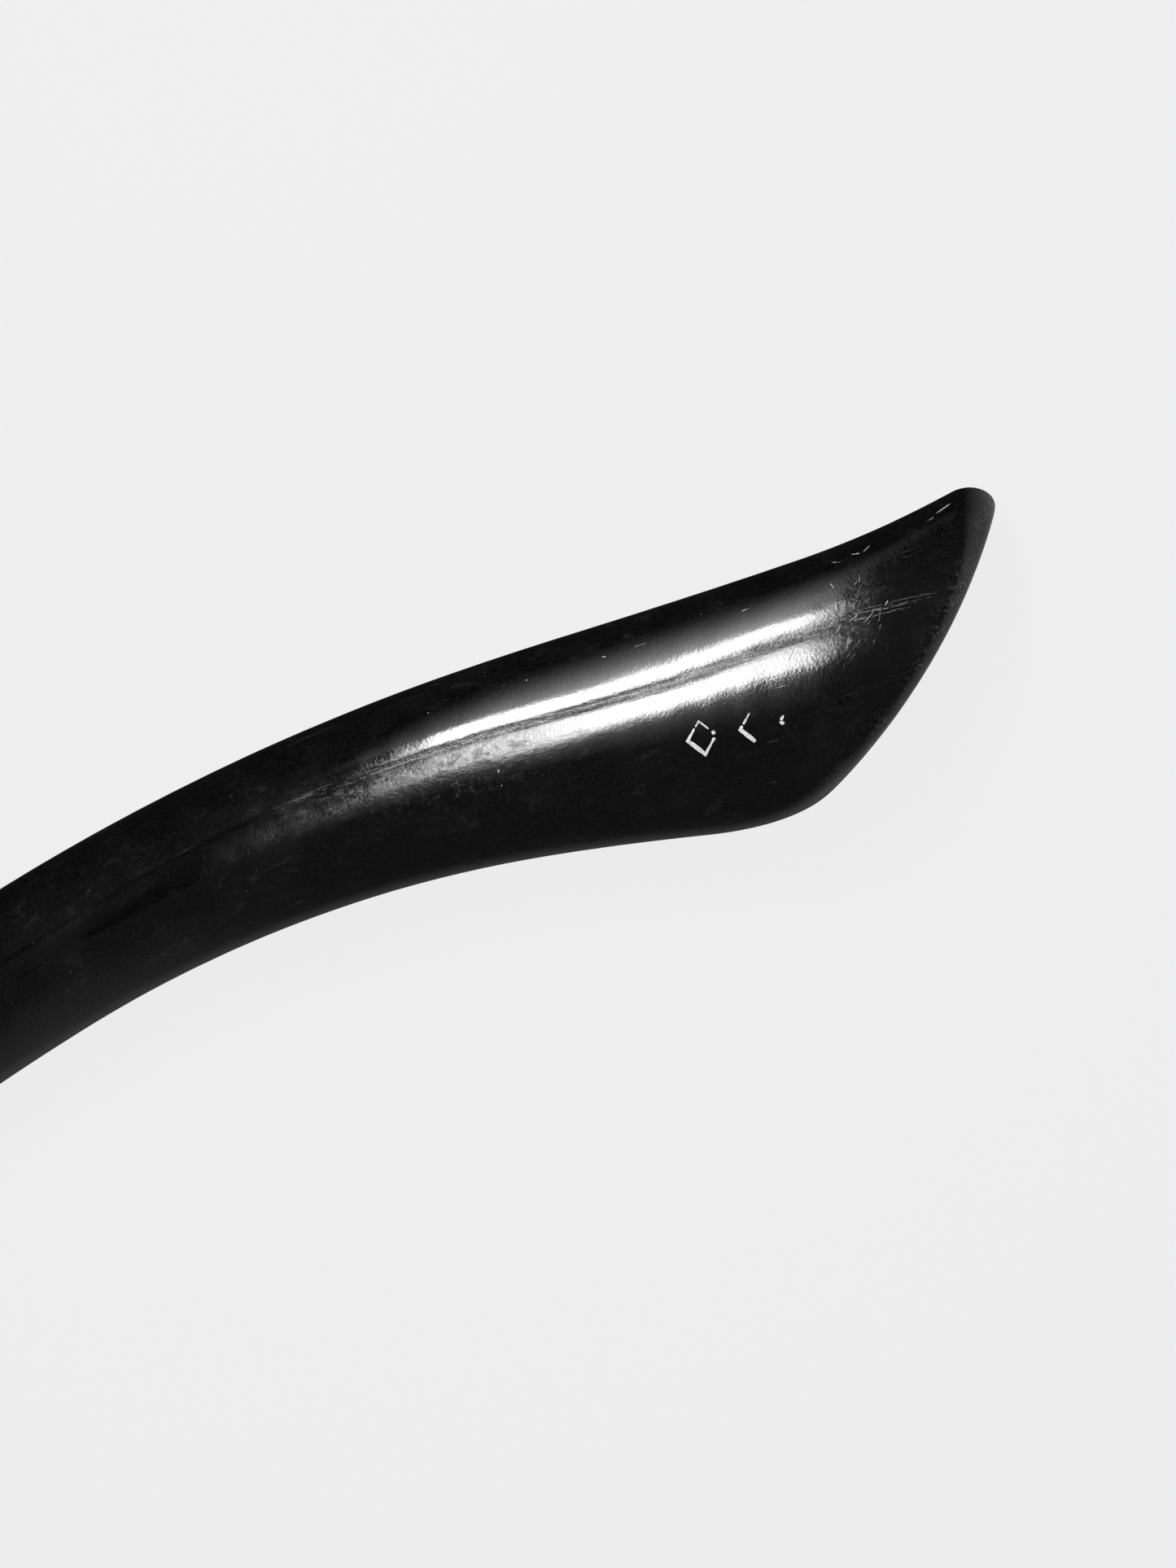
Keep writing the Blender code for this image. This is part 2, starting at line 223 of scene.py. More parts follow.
def rounded(start, corner, end, count):
    """Rings of a round corner, tangent to corner-start and corner-end, without its first ring."""
    before = start - corner
    after = end - corner
    cosine = np.sum(before * after, axis=-1)
    cosine /= np.linalg.norm(before, axis=-1) * np.linalg.norm(after, axis=-1)
    weight = np.sqrt(0.5 * (1.0 - cosine))[..., None]
    rings = []
    for t in np.linspace(0.0, 1.0, count + 1)[1:]:
        bend = 2.0 * weight * t * (1.0 - t)
        share = (1.0 - t) ** 2 + bend + t * t
        rings.append(((1.0 - t) ** 2 * start + bend * corner + t * t * end) / share)
    return rings


def slid_stations(end, count):
    """Stations from the neck's end, at first square to the horn and at last along the slanting end."""
    middle = float(np.mean(end))
    for u in np.linspace(0.0, 1.0, count):
        yield mix(NECK_END, middle, u) + (end - middle) * smooth((u - 0.5) / 0.5)


def horn_rings():
    """Rings of the wall with each ring's region, once round from the neck's outside to its end face."""
    angle = np.linspace(0.0, 2.0 * math.pi, AROUND, endpoint=False)
    across = np.cos(angle)
    round_over = (
        ROUND_OVER
        + (TIP_ROUND_OVER - ROUND_OVER) * np.maximum(across, 0.0) ** 3
        + (HEEL_ROUND_OVER - ROUND_OVER) * np.maximum(-across, 0.0) ** 3
    )
    outer_cut = cut_station(outer, angle)
    inner_cut = cut_station(bore, angle)
    edge = outer(outer_cut, angle)
    brink = bore(inner_cut, angle)
    width = np.linalg.norm(brink - edge, axis=-1)
    reach = np.minimum(round_over, width - INNER_ROOM * INNER_ROUND_OVER)

    outside = list(slid_stations(outer_cut - round_over, OUTER_RINGS))
    rings = [(outer(s, angle), OUTSIDE) for s in outside]
    rings[0] = (neck_circle(NECK_END + NECK_ROUND_OVER, NECK_RADIUS, angle), OUTSIDE)
    over = rounded(rings[-1][0], edge, face_point(edge, brink, reach / width), ROUND_RINGS)
    rings += [(ring, OUTSIDE) for ring in over]

    inner_share = 1.0 - INNER_ROUND_OVER / width
    for k in (0.25, 0.5, 0.75, 1.0):
        rings.append((face_point(edge, brink, mix(reach / width, inner_share, k)), SAWN))
    inside = list(slid_stations(inner_cut - INNER_ROUND_OVER, INNER_RINGS))
    inner_start = face_point(edge, brink, inner_share)
    under = rounded(inner_start, brink, bore(inside[-1], angle), INNER_ROUND_RINGS)
    rings += [(ring, SAWN) for ring in under]

    floor = NECK_END + SOCKET_DEPTH
    rings += [(bore(s, angle), BORE) for s in reversed(inside[:-1]) if np.min(s) > floor + SOCKET_CLEAR]
    rings.append((neck_circle(floor, BORE_RADIUS, angle), BORE))
    rings.append((neck_circle(floor, SOCKET_RADIUS, angle), BORE))
    for depth in SOCKET_DEPTHS:
        rings.append((neck_circle(NECK_END + depth, SOCKET_RADIUS, angle), BORE))

    rings.append((neck_circle(NECK_END, SOCKET_RADIUS + SOCKET_CHAMFER, angle), SAWN))
    rings.append((neck_circle(NECK_END, NECK_RADIUS - NECK_ROUND_OVER, angle), SAWN))
    for turn in np.radians(NECK_ROUND_TURNS):
        radius = NECK_RADIUS - NECK_ROUND_OVER * (1.0 - math.sin(turn))
        back = NECK_ROUND_OVER * (1.0 - math.cos(turn))
        rings.append((neck_circle(NECK_END + back, radius, angle), SAWN))
    return rings, angle


# Relief: what hand and tool left in the polished surface ---------------------------

class Waves:
    """Smooth seeded relief over station and angle, periodic round the horn."""

    def __init__(self, seed, count, shortest, longest, most_turns):
        rng = np.random.default_rng(seed)
        self.along = 2.0 * math.pi / rng.uniform(shortest, longest, count)
        self.about = rng.integers(0, most_turns + 1, count)
        self.phase = rng.uniform(0.0, 2.0 * math.pi, count)

    def __call__(self, s, angle):
        total = np.zeros(np.broadcast(s, angle).shape)
        for along, about, phase in zip(self.along, self.about, self.phase):
            total += np.sin(along * s + about * angle + phase)
        return total / math.sqrt(len(self.phase))


HAND_WAVES = Waves(SEED, 10, 0.030, 0.080, 4)
RIPPLES = Waves(SEED + 1, 14, 0.006, 0.015, 6)
FADING = Waves(SEED + 2, 6, 0.012, 0.050, 0)
HAND_HEIGHT = 0.00002
RIPPLE_HEIGHT = 0.000004
GROOVE_DEPTH = 0.00003
GROOVE_WIDTH = 0.0006


def groove_side(s):
    """How far across the horn its lengthwise groove runs, as a share of the half-breadth."""
    return mix(0.19, 0.30, smooth((s + 0.17) / 0.10)) + 0.16 * smooth((s + 0.012) / 0.05)


def relief(s, angle):
    """Height of the surface above the plain horn: hand-scraped waves, ripples, and a groove."""
    waves = HAND_HEIGHT * HAND_WAVES(s, angle) + RIPPLE_HEIGHT * RIPPLES(s, angle)
    aside = (np.cos(angle) - groove_side(s)) * half_breadth(s)
    shown = smooth((0.035 - s) / 0.03) * smooth((s + 0.26) / 0.06) * (np.sin(angle) > 0.0)
    depth = GROOVE_DEPTH * np.clip(1.0 + 0.25 * FADING(s, 0.0), 0.6, 1.4)
    return waves - depth * shown * hump(aside, 0.0, GROOVE_WIDTH)


# Nodes and materials ------------------------------------------------------------------

class Nodes:
    """A short way to write a node tree."""

    def __init__(self, name, attribute="unbent"):
        self.material = bpy.data.materials.new(name)
        self.material.use_nodes = True
        self.tree = self.material.node_tree
        self.shader = self.tree.nodes["Principled BSDF"]
        self.place = self.add("ShaderNodeAttribute", attribute_name=attribute).outputs["Vector"]

    def add(self, kind, inputs=None, **settings):
        node = self.tree.nodes.new(kind)
        for key, value in settings.items():
            setattr(node, key, value)
        for key, value in (inputs or {}).items():
            if isinstance(value, bpy.types.NodeSocket):
                self.tree.links.new(value, node.inputs[key])
            else:
                node.inputs[key].default_value = value
        return node

    def attribute(self, name):
        return self.add("ShaderNodeAttribute", attribute_name=name).outputs["Fac"]

    def stretched(self, longer, turn=0.0):
        """Texture coordinates drawn out so many times in length, along a turned first axis."""
        settings = {"Vector": self.place, "Scale": longer, "Rotation": (0.0, 0.0, math.radians(turn))}
        return self.add("ShaderNodeMapping", settings, vector_type="TEXTURE").outputs["Vector"]

    def noise(self, vector, scale, detail=3.0, rough=0.55, distortion=0.0):
        values = {"Vector": vector, "Scale": scale, "Detail": detail, "Roughness": rough}
        values["Distortion"] = distortion
        return self.add("ShaderNodeTexNoise", values).outputs["Fac"]

    def cells(self, vector, scale):
        return self.add("ShaderNodeTexVoronoi", {"Vector": vector, "Scale": scale}).outputs["Distance"]

    def ramp(self, value, low, high, to_low=0.0, to_high=1.0):
        values = {"Value": value, "From Min": low, "From Max": high, "To Min": to_low, "To Max": to_high}
        return self.add("ShaderNodeMapRange", values, interpolation_type="SMOOTHSTEP").outputs["Result"]

    def math(self, kind, a, b=0.0):
        return self.add("ShaderNodeMath", {0: a, 1: b}, operation=kind).outputs["Value"]

    def times(self, a, b):
        return self.math("MULTIPLY", a, b)

    def plus(self, a, b):
        return self.math("ADD", a, b)

    def most(self, a, b):
        return self.math("MAXIMUM", a, b)

    def blend(self, factor, a, b):
        node = self.add("ShaderNodeMix", {"Factor": factor}, data_type="RGBA")
        for key, value in ((6, a), (7, b)):
            if isinstance(value, bpy.types.NodeSocket):
                self.tree.links.new(value, node.inputs[key])
            else:
                node.inputs[key].default_value = (*value, 1.0)
        return node.outputs[2]

    def bump(self, height, strength, distance):
        values = {"Height": height, "Strength": strength, "Distance": distance}
        return self.add("ShaderNodeBump", values).outputs["Normal"]

    def surface(self, **inputs):
        """Sets or links the shader's inputs and returns the material."""
        for key, value in inputs.items():
            socket = self.shader.inputs[key.replace("_", " ")]
            if isinstance(value, bpy.types.NodeSocket):
                self.tree.links.new(value, socket)
            else:
                socket.default_value = value
        return self.material


# Scratches and dents: station, lateral place, turn from lengthwise in degrees, length and width. The first
# row is a painted highlight: the glint along the tip's upper edge, drawn like a pale scratch.
# Lengths are in millimetres.
SCRATCHES_AND_GLINT = (
    (63.6, 32.9, 23.0, 4.4, 0.34),
    (60.4, 31.2, 20.0, 1.8, 0.30),
    (43.2, 27.2, -4.0, 2.6, 0.22),
    (45.6, 27.8, 32.0, 2.4, 0.22),
    (38.7, 26.3, -8.0, 2.4, 0.18),
    (36.6, 21.5, 112.0, 1.9, 0.20),
    (41.6, 21.0, 38.0, 1.6, 0.22),
    (42.6, 21.9, 84.0, 1.9, 0.22),
    (47.0, 15.4, 48.0, 1.6, 0.26),
    (17.4, 20.3, 10.0, 2.2, 0.18),
    (-6.0, 17.6, 8.0, 3.0, 0.14),
    (-14.0, 16.8, -12.0, 1.2, 0.22),
    (-31.0, 15.6, 15.0, 1.0, 0.20),
    (-52.0, 14.2, -20.0, 0.9, 0.22),
    (-41.2, -1.7, 70.0, 0.9, 0.45),
    (-63.6, 2.3, 10.0, 1.0, 0.50),
    (-41.4, -4.9, 30.0, 0.6, 0.35),
    (-45.6, 3.0, 120.0, 1.0, 0.40),
)
MM = 0.001


def placed_scratches_and_glint(n, grain):
    """1 in each of the scratches and in the painted glint at the tip, broken up by the grain."""
    scratches_and_glint = None
    for station, lateral, turn, length, width in SCRATCHES_AND_GLINT:
        settings = {
            "Vector": n.place,
            "Location": (station * MM, lateral * MM, 0.0),
            "Rotation": (0.0, 0.0, math.radians(turn)),
            "Scale": (0.5 * length * MM, 0.5 * width * MM, 1.0),
        }
        local = n.add("ShaderNodeMapping", settings, vector_type="TEXTURE").outputs["Vector"]
        reach = n.add("ShaderNodeVectorMath", {0: local}, operation="LENGTH").outputs["Value"]
        mark = n.ramp(reach, 1.0, 0.5)
        scratches_and_glint = mark if scratches_and_glint is None else n.most(scratches_and_glint, mark)
    return n.times(scratches_and_glint, n.ramp(grain, 0.35, 0.55))


def hairlines(n, scuffed):
    """Two crossing sets of fine scratches where the horn is scuffed, and a faint lengthwise set."""
    one = n.noise(n.stretched((15.0, 1.0, 1.0), 40.0), 2100.0, 2.0, 0.5, 0.5)
    two = n.noise(n.stretched((14.0, 1.0, 1.0), 62.0), 1900.0, 2.0, 0.5, 0.4)
    three = n.noise(n.stretched((25.0, 1.0, 1.0), 4.0), 1200.0, 2.0, 0.5, 0.3)
    crossing = n.most(n.ramp(one, 0.62, 0.72), n.ramp(two, 0.66, 0.74))
    crossing = n.times(crossing, n.plus(n.times(scuffed, 0.7), 0.02))
    return n.most(crossing, n.times(n.ramp(three, 0.70, 0.76), 0.35))


def polished_horn():
    """Near-black horn: fibres, haze, hairlines, placed scratches, specks, flecks and a scuffed rim, with
    painted highlights in the pale flecks and in the glint at the tip.
    """
    n = Nodes("polished_black_horn")
    streaks = n.noise(n.stretched((30.0, 1.0, 1.0)), 2300.0, 5.0, 0.7)
    clouds = n.noise(n.place, 60.0, 5.0, 0.62)
    patches = n.noise(n.stretched((1.7, 1.0, 1.0)), 150.0, 5.0, 0.65)
    mottle = n.noise(n.stretched((2.0, 1.0, 1.0)), 420.0, 5.0, 0.70)
    grain = n.noise(n.place, 1500.0, 3.0, 0.6)

    scuffed = n.attribute("scuff")
    blotched = n.attribute("blotch")
    strip = n.attribute("strip")
    hairs = hairlines(n, scuffed)
    # The placed scratches, with the painted highlight of the tip's glint among them
    scratches_and_glint = placed_scratches_and_glint(n, grain)
    specks = n.times(n.ramp(n.noise(n.place, 1300.0, 2.0, 0.5), 0.70, 0.76), n.ramp(clouds, 0.42, 0.60))
    # Painted highlight: pale flecks below the lower band, where the highlight scatters
    highlight_flecks = n.times(n.ramp(n.noise(n.place, 520.0, 5.0, 0.75), 0.56, 0.68), n.attribute("highlight_fleck"))
    rim = n.times(n.attribute("rim"), n.ramp(grain, 0.50, 0.66))
    rim = n.times(rim, n.ramp(patches, 0.42, 0.60))

    # Colour: black with a grey haze, then the paler marks of use and the painted highlights of the flecks
    # and the tip's glint
    base = n.blend(n.ramp(streaks, 0.35, 0.75), grey(0.001), grey(0.004))
    base = n.blend(n.times(n.ramp(clouds, 0.45, 0.75), 0.4), base, grey(0.008))
    base = n.blend(n.times(n.ramp(patches, 0.50, 0.72), 0.4), base, grey(0.010))
    base = n.blend(n.times(n.ramp(grain, 0.45, 0.70), 0.6), base, grey(0.011))
    smears = n.times(n.ramp(mottle, 0.52, 0.68), n.ramp(clouds, 0.46, 0.62))
    base = n.blend(n.times(smears, 0.7), base, grey(0.020))
    pale = n.most(n.times(hairs, 0.40), n.times(specks, 0.30))
    pale = n.most(pale, n.times(rim, 0.7))
    base = n.blend(pale, base, grey(0.14))
    # The pale flecks are painted highlight, the scatter of the lower band
    base = n.blend(highlight_flecks, base, grey(0.10))
    # Pale scratches, and a painted highlight: the glint along the tip's upper edge
    base = n.blend(scratches_and_glint, base, grey(0.55))

    # Polish: duller in the haze, and where the horn is scratched, scuffed or blotched
    rough = n.ramp(clouds, 0.35, 0.75, 0.07, 0.13)
    rough = n.plus(rough, n.times(hairs, 0.25))
    rough = n.plus(rough, n.times(n.most(rim, scratches_and_glint), 0.30))
    rough = n.plus(rough, n.times(scuffed, 0.06))
    blots = n.times(n.ramp(mottle, 0.50, 0.60), blotched)
    rough = n.plus(rough, n.times(blots, 0.34))

    # Fine relief in metres, too small for the mesh: fibres, ridges, unevenness, grain and scratches
    height = n.times(n.times(streaks, 0.000005), n.plus(n.times(strip, 1.2), 1.0))
    ridges = n.times(n.ramp(streaks, 0.56, 0.66), strip)
    height = n.plus(height, n.times(ridges, 0.000006))
    uneven = n.plus(n.plus(n.times(scuffed, 2.2), n.times(blotched, 3.5)), 0.5)
    height = n.plus(height, n.times(n.times(mottle, 0.000024), uneven))
    height = n.plus(height, n.times(grain, 0.000013))
    height = n.plus(height, n.times(patches, 0.00002))
    height = n.plus(height, n.times(hairs, -0.000009))
    height = n.plus(height, n.times(scratches_and_glint, -0.000016))

    # Dirt in the long groove takes its shine away
    groove = n.times(n.ramp(n.attribute("groove"), 0.30, 0.85), n.ramp(clouds, 0.30, 0.50, 0.5, 1.0))
    return n.surface(
        Base_Color=base, Roughness=rough, IOR=1.56, Specular_IOR_Level=n.plus(n.times(groove, -0.38), 0.5),
        Normal=n.bump(height, 1.0, 1.0), Coat_Weight=0.15, Coat_Roughness=0.05,
    )


def raw_horn():
    """The unpolished bore: dull, fibrous and pitted, lighter than the outside."""
    n = Nodes("raw_horn")
    fibres = n.noise(n.stretched((20.0, 1.0, 1.0)), 900.0, 5.0, 0.65)
    pits = n.noise(n.place, 700.0, 3.0, 0.6)
    clouds = n.noise(n.place, 70.0, 4.0, 0.6)
    base = n.blend(n.ramp(fibres, 0.3, 0.75), grey(0.020), (0.090, 0.088, 0.084))
    base = n.blend(n.ramp(clouds, 0.4, 0.75), base, (0.045, 0.043, 0.041))
    height = n.plus(fibres, n.times(n.ramp(pits, 0.60, 0.72), -0.8))
    normal = n.bump(height, 0.7, 0.00025)
    rough = n.ramp(fibres, 0.3, 0.7, 0.55, 0.80)
    return n.surface(Base_Color=base, Roughness=rough, IOR=1.54, Normal=normal)


def sawn_horn():
    """The rim's face and the neck's end: layered, satin, with rings of growth."""
    n = Nodes("sawn_horn")
    layers = n.noise(n.place, 500.0, 5.0, 0.7)
    marks = n.noise(n.stretched((1.0, 12.0, 1.0)), 2500.0, 3.0, 0.6)
    base = n.blend(n.ramp(layers, 0.35, 0.75), grey(0.006), grey(0.030))
    height = n.plus(n.times(marks, 0.6), n.times(layers, 0.4))
    normal = n.bump(height, 0.35, 0.00006)
    rough = n.ramp(layers, 0.3, 0.7, 0.22, 0.38)
    return n.surface(Base_Color=base, Roughness=rough, IOR=1.56, Normal=normal)


def turned_horn():
    """The mouthpiece: lathe-turned horn with faint rings and handling wear."""
    n = Nodes("turned_horn", "turned_place")
    rings = n.noise(n.stretched((1.0, 25.0, 25.0)), 3200.0, 3.0, 0.6)
    clouds = n.noise(n.place, 120.0, 4.0, 0.6)
    fibres = n.noise(n.stretched((8.0, 1.0, 1.0)), 700.0, 4.0, 0.6)
    base = n.blend(n.ramp(fibres, 0.35, 0.75), (0.006, 0.0055, 0.005), (0.024, 0.021, 0.019))
    rough = n.ramp(clouds, 0.35, 0.70, 0.14, 0.30)
    height = n.plus(n.times(rings, 0.7), n.times(fibres, 0.3))
    normal = n.bump(height, 0.25, 0.00005)
    return n.surface(
        Base_Color=base, Roughness=rough, IOR=1.56, Normal=normal, Coat_Weight=0.3, Coat_Roughness=0.08,
    )


def cork():
    """Pressed cork: pale grains, dark pores and darker joints."""
    n = Nodes("cork", "turned_place")
    grains = n.cells(n.place, 900.0)
    pores = n.noise(n.place, 1500.0, 3.0, 0.6)
    clouds = n.noise(n.place, 300.0, 4.0, 0.6)
    base = n.blend(n.ramp(clouds, 0.3, 0.7), (0.36, 0.21, 0.11), (0.55, 0.36, 0.20))
    base = n.blend(n.ramp(grains, 0.45, 0.75), base, (0.24, 0.13, 0.065))
    base = n.blend(n.ramp(pores, 0.62, 0.70), base, (0.07, 0.035, 0.02))
    height = n.math("SUBTRACT", clouds, n.ramp(pores, 0.60, 0.70))
    normal = n.bump(height, 0.8, 0.0002)
    return n.surface(Base_Color=base, Roughness=n.ramp(clouds, 0.3, 0.7, 0.75, 0.92), Normal=normal)


def white_filler():
    """The marks' white: chipped, rubbed thin and dirty at its edges."""
    n = Nodes("white_filler", "mark_place")
    chips = n.noise(n.place, 2600.0, 4.0, 0.65)
    dirt = n.noise(n.place, 900.0, 4.0, 0.6)
    base = n.blend(n.ramp(dirt, 0.35, 0.70), grey(0.95), grey(0.75))
    base = n.blend(n.ramp(chips, 0.60, 0.66), base, grey(0.02))
    normal = n.bump(chips, 0.5, 0.00005)
    return n.surface(Base_Color=base, Roughness=n.ramp(dirt, 0.3, 0.7, 0.35, 0.60), Normal=normal)


# Mesh helpers ----------------------------------------------------------------------------

def mesh_object(name, points, faces, materials, indices=None, crease=None):
    """A smooth mesh in the scene. Edges that turn by more than the crease stay sharp."""
    mesh = bpy.data.meshes.new(name)
    mesh.from_pydata([tuple(point) for point in points], [], [tuple(face) for face in faces])
    for item in materials:
        mesh.materials.append(item)
    if indices is not None:
        mesh.polygons.foreach_set("material_index", np.asarray(indices, np.int32))
    mesh.shade_smooth()
    if crease is not None:
        mesh.set_sharp_from_angle(angle=crease)
    mesh.update()
    made = bpy.data.objects.new(name, mesh)
    bpy.context.scene.collection.objects.link(made)
    return made


def store(obj, name, values):
    """A value or a vector for each point, which the materials read."""
    values = np.asarray(values, np.float32)
    if values.ndim == 1:
        obj.data.attributes.new(name, "FLOAT", "POINT").data.foreach_set("value", values)
    else:
        obj.data.attributes.new(name, "FLOAT_VECTOR", "POINT").data.foreach_set("vector", values.ravel())


def tour_faces(rows, around):
    """Quads of a skin that closes on itself both ways."""
    i, j = np.meshgrid(np.arange(rows), np.arange(around), indexing="ij")
    below = (i + 1) % rows
    beside = (j + 1) % around
    corners = (i * around + j, below * around + j, below * around + beside, i * around + beside)
    return np.stack([corner.ravel() for corner in corners], axis=-1)


def turn_outwards(obj):
    """Makes every face look away from the solid."""
    bm = bmesh.new()
    bm.from_mesh(obj.data)
    bmesh.ops.recalc_face_normals(bm, faces=bm.faces)
    bm.to_mesh(obj.data)
    bm.free()


# Pieces ----------------------------------------------------------------------------------

def station_of(points, count=1200, batch=4000, refinements=3):
    """Station of each point: the nearest of many stations, then refined along the centreline."""
    stations = np.linspace(NECK_END - 0.005, 0.10, count)
    path = place(stations, 0.0, 0.0)[:, :2]
    found = np.empty(len(points))
    for start in range(0, len(points), batch):
        away = points[start:start + batch, None, :2] - path[None]
        found[start:start + batch] = stations[np.argmin((away ** 2).sum(axis=-1), axis=1)]
    for _ in range(refinements):
        away = points - place(found, 0.0, 0.0)
        heading = np.interp(found, TABLE[0], TABLE[1])
        found = found + away[:, 0] * np.cos(heading) + away[:, 1] * np.sin(heading)
    return found


def make_horn():
    """The horn's skin with its relief, and the attributes that place its materials' wear and its painted
    highlight flecks.
    """
    rings, angle = horn_rings()
    points = np.concatenate([ring for ring, _ in rings])
    regions = np.repeat([region for _, region in rings], AROUND)
    angles = np.tile(angle, len(rings))
    stations = station_of(points)
    aside = points - place(stations, 0.0, 0.0)
    heading = np.interp(stations, TABLE[0], TABLE[1])
    lateral = aside[:, 1] * np.cos(heading) - aside[:, 0] * np.sin(heading)
    unbent = np.stack([stations, lateral, points[:, 2]], axis=-1)

    faces = tour_faces(len(rings), AROUND)
    horn = mesh_object("horn", points, faces, [polished_horn(), raw_horn(), sawn_horn()], regions)
    turn_outwards(horn)

    normals = np.empty(len(points) * 3, np.float32)
    horn.data.vertices.foreach_get("normal", normals)
    above_table = smooth((points[:, 2] - 0.0006) / 0.002)
    past_neck = smooth((stations - NECK_END - 0.002) / 0.004)
    lift = relief(stations, angles) * (regions == OUTSIDE) * above_table * past_neck
    points = points + normals.reshape(-1, 3) * lift[:, None]
    horn.data.vertices.foreach_set("co", points.astype(np.float32).ravel())
    horn.data.update()

    store(horn, "unbent", unbent)
    from_mouth = mouth_x(points[:, 1]) - points[:, 0]
    store(horn, "rim", hump(np.maximum(from_mouth, 0.0), 0.0, 0.0035))
    crown = smooth((points[:, 2] - 0.018) / 0.006)
    store(horn, "scuff", crown * hump(stations, 0.040, 0.0075) * hump(lateral, 0.0135, 0.0075))
    store(horn, "blotch", crown * hump(stations, -0.050, 0.026) * hump(lateral, 0.0005, 0.0050))
    # Where the painted highlight flecks go, below the lower band
    store(horn, "highlight_fleck", crown * hump(stations, -0.046, 0.018) * hump(lateral, -0.002, 0.0032))
    off_groove = lateral / half_breadth(stations) - groove_side(stations)
    lined = smooth((-0.075 - stations) / 0.030) * smooth((stations + 0.27) / 0.030)
    store(horn, "groove", crown * lined * hump(off_groove * half_breadth(stations), 0.0, GROOVE_WIDTH))
    store(horn, "strip", crown * hump(off_groove, 0.0, 0.045) * smooth((stations + 0.11) / 0.04))
    return horn


def on_horn(x, y, lift):
    """A point over a point of the plan, a height above the relief of the horn's upper surface."""
    angle = math.acos(y / float(half_breadth(x)))
    here = outer(x, angle)
    normal = np.cross(outer(x + SMALL_STEP, angle) - here, outer(x, angle + SMALL_TURN) - here)
    normal *= math.copysign(1.0, normal[2]) / np.linalg.norm(normal)
    return here + normal * (lift + float(relief(np.float64(x), np.float64(angle))))


MARK_STATIONS = (0.0027, 0.0141, 0.0228)
MARK_ROW = -0.0045
MARK_HALF_LENGTH = 0.0031
MARK_HALF_HEIGHT = 0.0036
LOZENGE = ((1, 0), (0, 1), (-1, 0), (0, -1))
MARK_STROKES = (
    ((0.42, 1.30), (1.36, 3.86), (4.06, 4.26)),
    ((1.12, 1.74), (1.80, 2.88)),
    ((1.70, 1.96), (1.99, 2.22)),
)
MARK_LIFT = 0.00003
MARK_ROOT = -0.0003
MARK_HALF_WIDTH = 0.00017
MARK_SWELL = 0.00030
MARK_ROWS_PER_SIDE = 40
CORNER_SHARE = 0.10


def side_normal(start, end):
    """The outward normal of a lozenge's side."""
    across = np.array([(start[0] + end[0]) / MARK_HALF_LENGTH, (start[1] + end[1]) / MARK_HALF_HEIGHT])
    return across / np.linalg.norm(across)


def lozenge_point(station, quarters):
    """The point so many sides round a lozenge, and its outward step, mitred at the corners."""
    side, part = divmod(quarters, 1.0)
    before, start, end, after = (LOZENGE[int(side + k) % 4] for k in (-1, 0, 1, 2))
    normal = side_normal(start, end)
    neighbours = ((part, side_normal(before, start)), (1.0 - part, side_normal(end, after)))
    for to_corner, neighbour in neighbours:
        near = 0.5 * (1.0 - smooth(to_corner / CORNER_SHARE))
        if near > 0.0:
            shared = mix(normal, neighbour, near)
            normal = shared / (shared @ normal)
    x = station + MARK_HALF_LENGTH * mix(start[0], end[0], part)
    y = MARK_ROW + MARK_HALF_HEIGHT * mix(start[1], end[1], part)
    return x, y, normal


def make_mark(index, finish):
    """A worn lozenge: strokes that swell and thin, with chipped ends, lying in the horn's surface."""
    rng = np.random.default_rng(SEED + 20 + index)
    points, faces = [], []
    for first, last in MARK_STROKES[index]:
        count = max(10, int((last - first) * MARK_ROWS_PER_SIDE))
        start = len(points)
        for k, quarters in enumerate(np.linspace(first, last, count)):
            x, y, (nx, ny) = lozenge_point(MARK_STATIONS[index], quarters)
            swell = hump(quarters, 2.5, 0.75) + hump(quarters, 4.0, 0.3)
            half = MARK_HALF_WIDTH + MARK_SWELL * swell
            ends = min(1.0, (k + 0.4) / 2.5, (count - 0.6 - k) / 2.5)
            over, under = half * ends * rng.uniform(0.82, 1.12, 2)
            section = ((over, MARK_ROOT), (over, MARK_LIFT), (-under, MARK_LIFT), (-under, MARK_ROOT))
            for offset, lift in section:
                points.append(on_horn(x + nx * offset, y + ny * offset, lift))
        for row in range(count - 1):
            for side in range(4):
                a, b = start + 4 * row + side, start + 4 * row + (side + 1) % 4
                faces.append((a, b, b + 4, a + 4))
        faces.append(tuple(start + side for side in range(4)))
        faces.append(tuple(start + 4 * (count - 1) + side for side in (3, 2, 1, 0)))
    mark = mesh_object(f"mark_{index + 1}", points, faces, [finish], crease=math.radians(35.0))
    turn_outwards(mark)
    store(mark, "mark_place", np.array(points) + rng.uniform(0.0, 1.0, 3))
    return mark


# Mouthpiece ------------------------------------------------------------------------------

